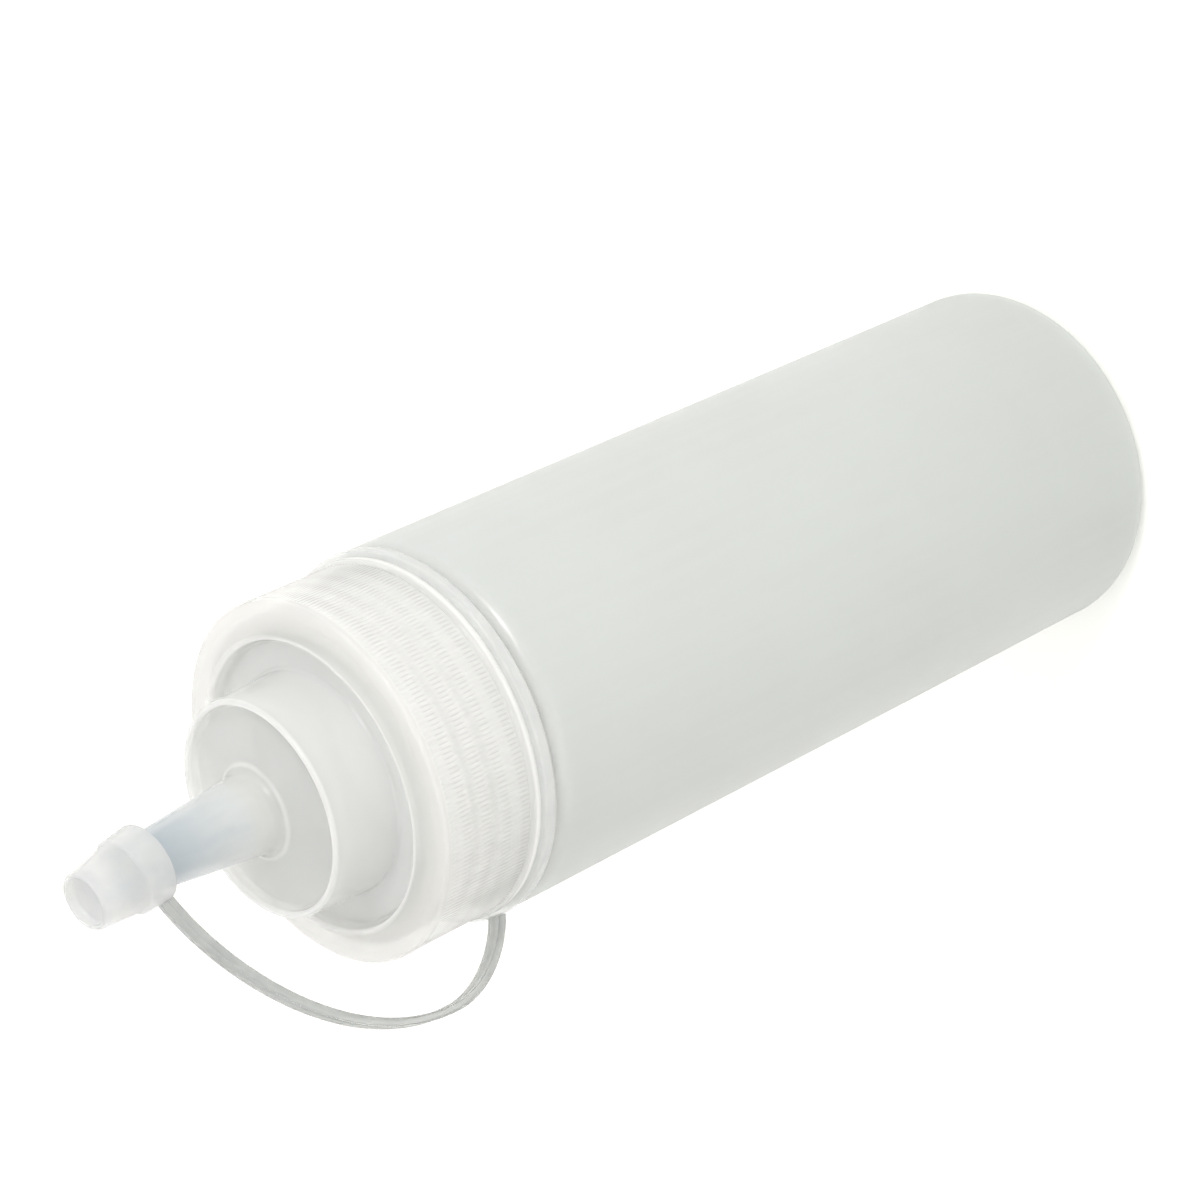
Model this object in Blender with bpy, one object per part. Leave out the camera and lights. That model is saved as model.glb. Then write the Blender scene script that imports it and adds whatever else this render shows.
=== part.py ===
"""A sauce squeeze bottle: a blow-moulded bottle, a screwed nozzle top and a tip cap on a leash.

The bottle stands upright on the middle of its base, with +Z up its axis. The leash strap bows out
towards -X. Every size is in metres, and pieces that fit each other are worked out from one value.
"""

from math import atan2, cos, pi, radians, sin, tan

import bmesh
import bpy
from mathutils import Matrix, Vector

# The gap kept between pieces that touch on the real bottle
FIT_GAP = 0.0003

# Bottle body
BODY_RADIUS = 0.0325
BODY_WALL = 0.0012
BASE_WALL = 0.0016
BASE_CORNER = 0.0055
BASE_RING_WIDTH = 0.0035
BASE_PAD_RADIUS = 0.0080
BASE_RECESS = 0.0006
BASE_RECESS_SLOPE = 0.0012
SHOULDER_HEIGHT = 0.1524
SHOULDER_CORNER = 0.0026

# Neck and mouth
NECK_RADIUS = 0.0270
NECK_WALL = 0.0016
NECK_LENGTH = 0.0206
NECK_FILLET = 0.0008
LIP_ROUND = 0.0005

# Screw thread, shared by the neck and the closure
THREAD_PITCH = 0.00423
THREAD_DEPTH = 0.0013
THREAD_ROOT_WIDTH = 0.0022
THREAD_CREST_WIDTH = 0.0011
THREAD_PLAY = 0.0004
THREAD_BITE = 0.0003
NECK_THREAD_TURNS = 3.0
CLOSURE_THREAD_TURNS = 2.5
NECK_THREAD_DROP = 0.0018
RUN_OUT_TURNS = 0.12
RUN_OUT_DEPTH_SHARE = 0.1

# Sealing washer, between the bottle's mouth and the closure
WASHER_THICKNESS = 0.0017

# Closure skirt
SKIRT_WALL = 0.0022
SKIRT_LIFT = 0.0004
SPIGOT_WALL = 0.0015
LIP_HEIGHT = 0.0006
LIP_CATCH = 0.0004
BEAD_HEIGHT = 0.0018
BEAD_STAND = 0.0004
BEAD_ROUND = 0.0004
RIB_COUNT = 240
RIB_DEPTH = 0.00035
RIB_LEDGE = 0.00015
SMALL_ROUND = 0.0003

# Closure top: a land, a ring-shaped well, and a raised middle with a shallow dish
TOP_WALL = 0.0016
TOP_CORNER = 0.0013
TOP_CORNER_DROP = 0.0004
LAND_OUTER_RADIUS = 0.0291
LAND_INNER_RADIUS = 0.0252
LAND_RISE = 0.0014
WELL_DEPTH = 0.0027
WELL_OUTER_RADIUS = 0.0241
WELL_ROUND = 0.0006
CENTRE_FOOT_RADIUS = 0.0193
CENTRE_RIM_RADIUS = 0.0187
CENTRE_HEIGHT = 0.0128
CENTRE_RIM_WIDTH = 0.0011
CLOSURE_WALL = 0.0015
DISH_DEPTH = 0.0020
DISH_RISE = 0.0029

# Nozzle
NOZZLE_FOOT_RADIUS = 0.0070
NOZZLE_TIP_RADIUS = 0.0043
NOZZLE_LENGTH = 0.0262
NOZZLE_WALL = 0.0013
NOZZLE_FILLET = 0.0024

# Tip cap, which leans on the nozzle because the leash pulls it to one side
CAP_LEAN_ANGLE = radians(6.2)
CAP_RIM_ABOVE_FOOT = 0.0215
CAP_LENGTH = 0.0133
CAP_BAND_LENGTH = 0.0050
CAP_BAND_RADIUS = 0.0068
CAP_BAND_STEP = 0.0005
CAP_BAND_TAPER = 0.0003
CAP_END_RADIUS = 0.00485
CAP_WALL = 0.0010
CAP_END_THICKNESS = 0.0010
CAP_END_RECESS = 0.0015
CAP_END_RIM_WIDTH = 0.0007

# Leash ring, which runs in the groove at the foot of the closure
RING_HEIGHT = 0.0022
RING_WALL = 0.0022

# Leash strap: an I section, wide across the bow, that goes out from the ring and up to the tip cap
STRAP_WIDTH = 0.0035
STRAP_THICKNESS = 0.0014
STRAP_RIM_WIDTH = 0.0008
STRAP_WEB_THICKNESS = 0.0007
STRAP_BOW_RADIUS = 0.0425
STRAP_BOW_ABOVE_RING = 0.0155
STRAP_RING_ANGLE = radians(26.5)
STRAP_RING_REACH = 0.0051
STRAP_BOW_REACH_DOWN = 0.0070
STRAP_BOW_REACH_UP = 0.0202
STRAP_CAP_REACH = 0.0161
STRAP_CAP_ANGLE = radians(16.1)

# How finely the round shapes are divided
SEGMENTS = 48
CAP_SEGMENTS = 32
MOST_ROUND_STEPS = 4
ROUND_STEP_SIZE = 0.0009
STRAP_STEPS = 14
MERGE_DISTANCE = 0.000001
SHARP_ANGLE = radians(35)

# Sizes that follow from the ones above
NECK_BORE = NECK_RADIUS - NECK_WALL
MOUTH_HEIGHT = SHOULDER_HEIGHT + NECK_LENGTH
NECK_THREAD_START = MOUTH_HEIGHT - NECK_THREAD_DROP - NECK_THREAD_TURNS * THREAD_PITCH
SKIRT_BORE = NECK_RADIUS + THREAD_DEPTH + THREAD_PLAY
SKIRT_FOOT = SHOULDER_HEIGHT + SKIRT_LIFT
SPIGOT_RADIUS = SKIRT_BORE + SPIGOT_WALL
RING_BORE = SPIGOT_RADIUS + FIT_GAP
RING_RADIUS = RING_BORE + RING_WALL
RING_FOOT = SKIRT_FOOT + LIP_HEIGHT + FIT_GAP
BEAD_FOOT = RING_FOOT + RING_HEIGHT + FIT_GAP
RIB_ROOT_RADIUS = SKIRT_BORE + SKIRT_WALL
RIB_CREST_RADIUS = RIB_ROOT_RADIUS + RIB_DEPTH
LEDGE_RADIUS = RIB_CREST_RADIUS + RIB_LEDGE
RIB_FOOT = BEAD_FOOT + BEAD_HEIGHT + BEAD_ROUND
CEILING = MOUTH_HEIGHT + FIT_GAP + WASHER_THICKNESS + FIT_GAP
RIB_TOP = CEILING
LAND_EDGE = CEILING + TOP_WALL
WELL_FLOOR = LAND_EDGE + LAND_RISE - WELL_DEPTH
CENTRE_RIM = WELL_FLOOR + CENTRE_HEIGHT
DISH_EDGE = CENTRE_RIM - DISH_DEPTH
NOZZLE_FOOT = DISH_EDGE + DISH_RISE
NOZZLE_TIP = NOZZLE_FOOT + NOZZLE_LENGTH
CAP_RIM = NOZZLE_FOOT + CAP_RIM_ABOVE_FOOT


def clear_scene():
    for obj in list(bpy.data.objects):
        bpy.data.objects.remove(obj, do_unlink=True)


def plastic(name, colour, roughness):
    """A Principled material for one piece."""
    material = bpy.data.materials.new(name)
    material.use_nodes = True
    shader = material.node_tree.nodes["Principled BSDF"]
    shader.inputs["Base Color"].default_value = (*colour, 1)
    shader.inputs["Roughness"].default_value = roughness
    shader.inputs["Metallic"].default_value = 0
    material.diffuse_color = (*colour, 1)
    return material


def rounded(corners, closed):
    """Profile points through corners of (radius, height, rounding), with an arc at each rounding."""
    points = []
    for index, (radius, height, rounding) in enumerate(corners):
        here = Vector((radius, height))
        at_end = index in (0, len(corners) - 1) and not closed
        if rounding == 0 or at_end:
            points.append(here)
            continue
        before = Vector(corners[index - 1][:2]) - here
        after = Vector(corners[(index + 1) % len(corners)][:2]) - here
        half = before.angle(after) / 2
        reach = min(rounding / tan(half), before.length / 2, after.length / 2)
        start = here + before.normalized() * reach
        end = here + after.normalized() * reach
        middle = here + (before.normalized() + after.normalized()).normalized() * reach / cos(half)
        turn_from = start - middle
        turn = turn_from.angle_signed(end - middle)
        steps = min(MOST_ROUND_STEPS, 1 + int(rounding / ROUND_STEP_SIZE))
        for step in range(steps + 1):
            spoke = Matrix.Rotation(-turn * step / steps, 2) @ turn_from
            points.append(middle + spoke)
    return points


def spun(points, closed, segments):
    """A bmesh of the profile turned once round the Z axis."""
    mesh = bmesh.new()
    ring = [mesh.verts.new((point.x, 0, point.y)) for point in points]
    edges = [mesh.edges.new(pair) for pair in zip(ring, ring[1:])]
    if closed:
        edges.append(mesh.edges.new((ring[-1], ring[0])))
    bmesh.ops.spin(
        mesh,
        geom=ring + edges,
        axis=(0, 0, 1),
        cent=(0, 0, 0),
        angle=2 * pi,
        steps=segments,
        use_merge=True,
    )
    bmesh.ops.remove_doubles(mesh, verts=mesh.verts, dist=MERGE_DISTANCE)
    bmesh.ops.recalc_face_normals(mesh, faces=mesh.faces)
    return mesh


def finished(name, mesh, material):
    """Turns a bmesh into a smooth-shaded object."""
    bmesh.ops.recalc_face_normals(mesh, faces=mesh.faces)
    data = bpy.data.meshes.new(name)
    mesh.to_mesh(data)
    mesh.free()
    data.materials.append(material)
    data.shade_smooth()
    data.set_sharp_from_angle(angle=SHARP_ANGLE)
    obj = bpy.data.objects.new(name, data)
    bpy.context.scene.collection.objects.link(obj)
    return obj


def thread_ridge(name, wall_radius, crest_radius, start_height, turns, material):
    """A helical ridge that is sunk a little into its wall and runs out at both ends."""
    sink = -THREAD_BITE if crest_radius > wall_radius else THREAD_BITE
    steps = round(turns * SEGMENTS)
    mesh = bmesh.new()
    sections = []
    for step in range(steps + 1):
        turned = step / SEGMENTS
        to_end = min(turned, turns - turned) / RUN_OUT_TURNS
        share = RUN_OUT_DEPTH_SHARE + (1 - RUN_OUT_DEPTH_SHARE) * min(1, to_end)
        crest = wall_radius + (crest_radius - wall_radius) * share
        height = start_height + turned * THREAD_PITCH
        corners = [
            (wall_radius + sink, -THREAD_ROOT_WIDTH / 2),
            (crest, -THREAD_CREST_WIDTH / 2),
            (crest, THREAD_CREST_WIDTH / 2),
            (wall_radius + sink, THREAD_ROOT_WIDTH / 2),
        ]
        angle = 2 * pi * turned
        sections.append([
            mesh.verts.new((radius * cos(angle), radius * sin(angle), height + rise))
            for radius, rise in corners
        ])
    for lower, upper in zip(sections, sections[1:]):
        for side in range(len(lower)):
            after = (side + 1) % len(lower)
            mesh.faces.new((lower[side], lower[after], upper[after], upper[side]))
    mesh.faces.new(sections[0])
    mesh.faces.new(sections[-1])
    ridge = finished(name, mesh, material)
    ridge.hide_render = True
    ridge.display_type = "WIRE"
    return ridge


def join_ridge(obj, ridge):
    union = obj.modifiers.new("thread", "BOOLEAN")
    union.operation = "UNION"
    union.solver = "EXACT"
    union.object = ridge
    ridge.parent = obj


def make_bottle(material):
    """The blow-moulded bottle: one thin wall from the flat base up to the threaded neck."""
    ring_inner = BODY_RADIUS - BASE_CORNER - BASE_RING_WIDTH
    pad_slope_end = BASE_PAD_RADIUS + BASE_RECESS_SLOPE
    inner_shoulder = SHOULDER_HEIGHT - BODY_WALL
    corners = [
        (0, 0, 0),
        (BASE_PAD_RADIUS, 0, 0),
        (pad_slope_end, BASE_RECESS, 0),
        (ring_inner - BASE_RECESS_SLOPE, BASE_RECESS, 0),
        (ring_inner, 0, 0),
        (BODY_RADIUS, 0, BASE_CORNER),
        (BODY_RADIUS, SHOULDER_HEIGHT, SHOULDER_CORNER),
        (NECK_RADIUS, SHOULDER_HEIGHT, NECK_FILLET),
        (NECK_RADIUS, MOUTH_HEIGHT, LIP_ROUND),
        (NECK_BORE, MOUTH_HEIGHT, LIP_ROUND),
        (NECK_BORE, inner_shoulder, NECK_FILLET + BODY_WALL),
        (BODY_RADIUS - BODY_WALL, inner_shoulder, SHOULDER_CORNER - BODY_WALL),
        (BODY_RADIUS - BODY_WALL, BASE_WALL, BASE_CORNER - BODY_WALL),
        (0, BASE_WALL, 0),
    ]
    bottle = finished("bottle", spun(rounded(corners, False), False, SEGMENTS), material)
    crest = NECK_RADIUS + THREAD_DEPTH
    ridge = thread_ridge(
        "neck_thread", NECK_RADIUS, crest, NECK_THREAD_START, NECK_THREAD_TURNS, material
    )
    join_ridge(bottle, ridge)
    return bottle


def make_sealing_washer(material):
    """The soft flat ring that the closure presses on the bottle's mouth."""
    inner = NECK_BORE + FIT_GAP
    outer = SKIRT_BORE - FIT_GAP
    foot = MOUTH_HEIGHT + FIT_GAP
    corners = [
        (inner, foot, 0),
        (outer, foot, 0),
        (outer, foot + WASHER_THICKNESS, 0),
        (inner, foot + WASHER_THICKNESS, 0),
    ]
    return finished("sealing_washer", spun(rounded(corners, True), True, SEGMENTS), material)


def closure_outline():
    """The closure's profile from the top of the ribs, over the nozzle, down the inside, to the ribs."""
    bore_foot_radius = NOZZLE_FOOT_RADIUS - NOZZLE_WALL
    lip_top = SKIRT_FOOT + LIP_HEIGHT
    return rounded([
        (LEDGE_RADIUS, RIB_TOP, 0),
        (LEDGE_RADIUS, LAND_EDGE - TOP_CORNER_DROP, TOP_CORNER),
        (LAND_OUTER_RADIUS, LAND_EDGE, SMALL_ROUND),
        (LAND_INNER_RADIUS, LAND_EDGE + LAND_RISE, WELL_ROUND),
        (WELL_OUTER_RADIUS, WELL_FLOOR, WELL_ROUND),
        (CENTRE_FOOT_RADIUS, WELL_FLOOR, WELL_ROUND),
        (CENTRE_RIM_RADIUS, CENTRE_RIM, SMALL_ROUND),
        (CENTRE_RIM_RADIUS - CENTRE_RIM_WIDTH, CENTRE_RIM, SMALL_ROUND),
        (CENTRE_RIM_RADIUS - CENTRE_RIM_WIDTH, DISH_EDGE, WELL_ROUND),
        (NOZZLE_FOOT_RADIUS, NOZZLE_FOOT, NOZZLE_FILLET),
        (NOZZLE_TIP_RADIUS, NOZZLE_TIP, SMALL_ROUND),
        (NOZZLE_TIP_RADIUS - NOZZLE_WALL, NOZZLE_TIP, SMALL_ROUND),
        (bore_foot_radius, NOZZLE_FOOT - CLOSURE_WALL, NOZZLE_FILLET + CLOSURE_WALL),
        (CENTRE_RIM_RADIUS - CLOSURE_WALL, DISH_EDGE - CLOSURE_WALL, WELL_ROUND),
        (CENTRE_FOOT_RADIUS - CLOSURE_WALL, WELL_FLOOR - CLOSURE_WALL, WELL_ROUND),
        (NECK_BORE, WELL_FLOOR - CLOSURE_WALL, SMALL_ROUND),
        (NECK_BORE, CEILING, 0),
        (SKIRT_BORE, CEILING, SMALL_ROUND),
        (SKIRT_BORE, SKIRT_FOOT, SMALL_ROUND),
        (RING_BORE + LIP_CATCH, SKIRT_FOOT, SMALL_ROUND),
        (RING_BORE + LIP_CATCH, lip_top, 0),
        (SPIGOT_RADIUS, lip_top, 0),
        (SPIGOT_RADIUS, BEAD_FOOT, 0),
        (LEDGE_RADIUS + BEAD_STAND, BEAD_FOOT, BEAD_ROUND),
        (LEDGE_RADIUS + BEAD_STAND, BEAD_FOOT + BEAD_HEIGHT, BEAD_ROUND),
        (LEDGE_RADIUS, RIB_FOOT, 0),
    ], False)


def ring_at(mesh, radius, height, count):
    """The vertices of a spun ring, in order round the axis."""
    found = [
        vert for vert in mesh.verts
        if abs(vert.co.z - height) < MERGE_DISTANCE
        and abs(vert.co.xy.length - radius) < MERGE_DISTANCE
    ]
    found.sort(key=lambda vert: round(atan2(vert.co.y, vert.co.x) / (2 * pi) * count) % count)
    return found


def add_ribs(mesh):
    """Fills the open band of the skirt with straight ribs, and joins them to the plain rings."""
    columns = 2 * RIB_COUNT
    rows = []
    for height in (RIB_FOOT, RIB_TOP):
        row = []
        for column in range(columns):
            radius = RIB_ROOT_RADIUS if column % 2 else RIB_CREST_RADIUS
            angle = 2 * pi * column / columns
            row.append(mesh.verts.new((radius * cos(angle), radius * sin(angle), height)))
        rows.append(row)
        plain = ring_at(mesh, LEDGE_RADIUS, height, SEGMENTS)
        for index, vert in enumerate(plain):
            first = round(index * columns / SEGMENTS)
            last = round((index + 1) * columns / SEGMENTS)
            fan = [row[column % columns] for column in range(first, last + 1)]
            mesh.faces.new([plain[(index + 1) % SEGMENTS], vert] + fan)
    for column in range(columns):
        after = (column + 1) % columns
        mesh.faces.new((rows[0][column], rows[0][after], rows[1][after], rows[1][column]))


def make_closure(material):
    """The screwed top: ribbed skirt, land, well, raised middle and nozzle, in one moulding."""
    mesh = spun(closure_outline(), False, SEGMENTS)
    add_ribs(mesh)
    closure = finished("nozzle_closure", mesh, material)
    crest = SKIRT_BORE - THREAD_DEPTH
    start = NECK_THREAD_START + THREAD_PITCH / 2
    ridge = thread_ridge(
        "closure_thread", SKIRT_BORE, crest, start, CLOSURE_THREAD_TURNS, material
    )
    join_ridge(closure, ridge)
    return closure


def make_leash_ring(material):
    corners = [
        (RING_BORE, RING_FOOT, 0),
        (RING_RADIUS, RING_FOOT, SMALL_ROUND),
        (RING_RADIUS, RING_FOOT + RING_HEIGHT, SMALL_ROUND),
        (RING_BORE, RING_FOOT + RING_HEIGHT, 0),
    ]
    return finished("leash_ring", spun(rounded(corners, True), True, SEGMENTS), material)


def cap_frame():
    """Where the tip cap's own frame lies: its origin in the middle of its rim, leaning to -X."""
    return Matrix.Translation((0, 0, CAP_RIM)) @ Matrix.Rotation(-CAP_LEAN_ANGLE, 4, "Y")


def make_tip_cap(material):
    """The hollow tip cap, open at its rim, with a recess in its closed end."""
    cone_foot = CAP_BAND_RADIUS - CAP_BAND_TAPER - CAP_BAND_STEP
    end_floor = CAP_LENGTH - CAP_END_RECESS
    bore_top = end_floor - CAP_END_THICKNESS
    recess_radius = CAP_END_RADIUS - CAP_END_RIM_WIDTH
    lean_reach = (NOZZLE_TIP - CAP_RIM) * tan(CAP_LEAN_ANGLE)
    bore_at_tip = NOZZLE_TIP_RADIUS + lean_reach + FIT_GAP
    taper = (NOZZLE_FOOT_RADIUS - NOZZLE_TIP_RADIUS) / NOZZLE_LENGTH
    bore_at_rim = bore_at_tip + (NOZZLE_TIP - CAP_RIM) * taper
    corners = [
        (0, bore_top, 0),
        (CAP_END_RADIUS - CAP_WALL, bore_top, SMALL_ROUND),
        (bore_at_tip, NOZZLE_TIP - CAP_RIM, SMALL_ROUND),
        (bore_at_rim, 0, SMALL_ROUND),
        (CAP_BAND_RADIUS, 0, SMALL_ROUND),
        (CAP_BAND_RADIUS - CAP_BAND_TAPER, CAP_BAND_LENGTH, SMALL_ROUND),
        (cone_foot, CAP_BAND_LENGTH + CAP_BAND_STEP, SMALL_ROUND),
        (CAP_END_RADIUS, CAP_LENGTH, SMALL_ROUND),
        (recess_radius, CAP_LENGTH, SMALL_ROUND),
        (recess_radius, end_floor, SMALL_ROUND),
        (0, end_floor, 0),
    ]
    tip_cap = finished("tip_cap", spun(rounded(corners, False), False, CAP_SEGMENTS), material)
    tip_cap.matrix_world = cap_frame()
    return tip_cap


def curve_points(start, start_handle, end_handle, end, steps):
    """Points along a cubic curve, without its last one."""
    points = []
    for step in range(steps):
        along = step / steps
        back = 1 - along
        points.append(
            start * back**3
            + start_handle * 3 * back**2 * along
            + end_handle * 3 * back * along**2
            + end * along**3
        )
    return points


def strap_route():
    """The strap's middle line in the XZ plane, from the leash ring out round the bow to the tip cap."""
    half = STRAP_THICKNESS / 2
    ring_middle = RING_FOOT + RING_HEIGHT / 2
    ring_end = Vector((
        -(RING_RADIUS + FIT_GAP + half * sin(STRAP_RING_ANGLE)), 0, ring_middle
    ))
    bow = Vector((-STRAP_BOW_RADIUS, 0, ring_middle + STRAP_BOW_ABOVE_RING))
    lean_difference = STRAP_CAP_ANGLE - CAP_LEAN_ANGLE
    stand_off = CAP_BAND_RADIUS + FIT_GAP + half * sin(lean_difference)
    cap_end = cap_frame() @ Vector((-stand_off, 0, half))
    leave_ring = Vector((-cos(STRAP_RING_ANGLE), 0, sin(STRAP_RING_ANGLE)))
    reach_cap = Vector((cos(STRAP_CAP_ANGLE), 0, sin(STRAP_CAP_ANGLE)))
    up = Vector((0, 0, 1))
    lower = curve_points(
        ring_end,
        ring_end + leave_ring * STRAP_RING_REACH,
        bow - up * STRAP_BOW_REACH_DOWN,
        bow,
        STRAP_STEPS,
    )
    upper = curve_points(
        bow,
        bow + up * STRAP_BOW_REACH_UP,
        cap_end - reach_cap * STRAP_CAP_REACH,
        cap_end,
        STRAP_STEPS,
    )
    return lower + upper + [cap_end], leave_ring, reach_cap


def strap_section():
    """The I section as (across the bow, along Y) offsets, in order round it."""
    rim = STRAP_THICKNESS / 2
    web = STRAP_WEB_THICKNESS / 2
    edge = STRAP_WIDTH / 2
    inside = edge - STRAP_RIM_WIDTH
    return [
        (-rim, -edge), (rim, -edge), (rim, -inside), (web, -inside), (web, inside), (rim, inside),
        (rim, edge), (-rim, edge), (-rim, inside), (-web, inside), (-web, -inside), (-rim, -inside),
    ]


def make_leash_strap(material):
    route, first_way, last_way = strap_route()
    mesh = bmesh.new()
    rings = []
    for index, point in enumerate(route):
        if index == 0:
            way = first_way
        elif index == len(route) - 1:
            way = last_way
        else:
            way = (route[index + 1] - route[index - 1]).normalized()
        across = Vector((-way.z, 0, way.x))
        rings.append([
            mesh.verts.new(point + across * out + Vector((0, side, 0)))
            for out, side in strap_section()
        ])
    for lower, upper in zip(rings, rings[1:]):
        for side in range(len(lower)):
            after = (side + 1) % len(lower)
            mesh.faces.new((lower[side], lower[after], upper[after], upper[side]))
    mesh.faces.new(rings[0])
    mesh.faces.new(rings[-1])
    return finished("leash_strap", mesh, material)


def attach(child, parent):
    """Parents one piece to another without moving it."""
    placed = child.matrix_world.copy()
    child.parent = parent
    child.matrix_parent_inverse = parent.matrix_world.inverted()
    child.matrix_world = placed


def main():
    clear_scene()
    bottle = make_bottle(plastic("bottle_plastic", (0.78, 0.81, 0.80), 0.35))
    washer = make_sealing_washer(plastic("washer_rubber", (0.86, 0.86, 0.84), 0.5))
    closure = make_closure(plastic("closure_plastic", (0.84, 0.84, 0.82), 0.3))
    ring = make_leash_ring(plastic("ring_plastic", (0.74, 0.76, 0.74), 0.35))
    strap = make_leash_strap(plastic("strap_plastic", (0.66, 0.69, 0.67), 0.35))
    tip_cap = make_tip_cap(plastic("tip_cap_plastic", (0.80, 0.82, 0.81), 0.3))
    bpy.context.view_layer.update()
    attach(washer, bottle)
    attach(closure, washer)
    attach(ring, closure)
    attach(strap, ring)
    attach(tip_cap, ring)


main()
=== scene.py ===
# %% [markdown]
# # A sauce squeeze bottle in natural polyethylene
#
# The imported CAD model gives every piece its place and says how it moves. This script loads it,
# builds finer pieces over it, gives them milky translucent plastic, and sets up the photo's view.
# All lengths are in metres. The bottle stands on the origin, +Z runs up its axis, and the leash
# bows out towards -X.

from math import ceil, cos, pi, radians, sin, tan

import bmesh
import bpy
from mathutils import Matrix, Vector


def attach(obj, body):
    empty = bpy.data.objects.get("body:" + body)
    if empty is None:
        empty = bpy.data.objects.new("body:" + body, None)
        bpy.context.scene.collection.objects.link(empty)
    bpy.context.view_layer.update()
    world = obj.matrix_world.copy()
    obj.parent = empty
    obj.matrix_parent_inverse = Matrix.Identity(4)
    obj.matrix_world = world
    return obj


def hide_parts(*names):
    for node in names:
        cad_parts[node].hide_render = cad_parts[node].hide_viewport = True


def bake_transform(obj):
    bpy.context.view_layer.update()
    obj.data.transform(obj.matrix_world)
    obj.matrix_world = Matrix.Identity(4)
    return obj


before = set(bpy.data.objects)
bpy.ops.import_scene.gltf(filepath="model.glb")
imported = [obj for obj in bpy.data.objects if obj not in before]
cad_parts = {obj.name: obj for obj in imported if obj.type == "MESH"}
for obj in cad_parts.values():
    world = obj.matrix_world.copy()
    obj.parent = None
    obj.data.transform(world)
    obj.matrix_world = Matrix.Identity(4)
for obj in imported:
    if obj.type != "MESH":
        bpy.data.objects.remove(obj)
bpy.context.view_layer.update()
print("nodes:", sorted(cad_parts))

# %% [markdown]
# ## Camera
#
# The photo looks down on a standing bottle with the camera rolled over, so the bottle lies across
# the picture with its nozzle at the lower left. The camera's place, its three axes and its lens
# come from fitting circles of the bottle (the base, the shoulder, the rims) to the photo. A matrix
# is the safest way to give a rolled camera to Blender, because no angle has to be guessed.

# %% The photo's camera
CAMERA_PLACE = Vector((0.00757, -0.50361, 0.50993))
CAMERA_RIGHT = Vector((-0.41901, -0.56710, -0.70911))
CAMERA_UP = Vector((0.90798, -0.26170, -0.32724))
CAMERA_BACK = Vector((0.0, -0.78097, 0.62457))
SENSOR_WIDTH_MM = 36.0
FOCAL_LENGTH_MM = 111.97
CLIP_START = 0.01
AIM = Vector((0.0, 0.0, 0.11))


def make_camera():
    data = bpy.data.cameras.new("photo_camera")
    data.sensor_width = SENSOR_WIDTH_MM
    data.lens = FOCAL_LENGTH_MM
    data.clip_start = CLIP_START
    camera = bpy.data.objects.new("photo_camera", data)
    columns = (CAMERA_RIGHT, CAMERA_UP, CAMERA_BACK)
    turn = Matrix([[column[row] for column in columns] for row in range(3)])
    camera.matrix_world = Matrix.Translation(CAMERA_PLACE) @ turn.to_4x4()
    bpy.context.scene.collection.objects.link(camera)
    bpy.context.scene.camera = camera


make_camera()
print("camera is", round((CAMERA_PLACE - AIM).length, 3), "m from the bottle's middle")

# %% [markdown]
# ## Shader maths in Python
#
# Node trees are easier to read as formulas. A Wire is one output socket, and adding or multiplying
# wires makes the Math nodes. Every other node comes from Finish.node, which takes the node's type,
# its settings and what goes into its sockets.

# %% A small language for node trees


class Wire:
    """An output socket that can be used in a formula."""

    def __init__(self, finish, socket):
        self.finish = finish
        self.socket = socket

    def maths(self, operation, first, second=0.0):
        return self.finish.node("ShaderNodeMath", {"operation": operation}, {0: first, 1: second})

    def __add__(self, other):
        return self.maths("ADD", self, other)

    def __radd__(self, other):
        return self.maths("ADD", other, self)

    def __sub__(self, other):
        return self.maths("SUBTRACT", self, other)

    def __rsub__(self, other):
        return self.maths("SUBTRACT", other, self)

    def __mul__(self, other):
        return self.maths("MULTIPLY", self, other)

    def __rmul__(self, other):
        return self.maths("MULTIPLY", other, self)

    def __truediv__(self, other):
        return self.maths("DIVIDE", self, other)

    def part(self):
        """The fraction after the whole number."""
        return self.maths("FRACT", self)

    def size(self):
        """The value without its sign."""
        return self.maths("ABSOLUTE", self)

    def root(self):
        return self.maths("SQRT", self)

    def larger(self, other):
        """Whichever of two values is larger."""
        return self.maths("MAXIMUM", self, other)

    def step(self, low, high):
        """0 below low, 1 above high, and smooth between."""
        settings = {"interpolation_type": "SMOOTHSTEP"}
        inputs = {"Value": self, "From Min": low, "From Max": high}
        return self.finish.node("ShaderNodeMapRange", settings, inputs)


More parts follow.
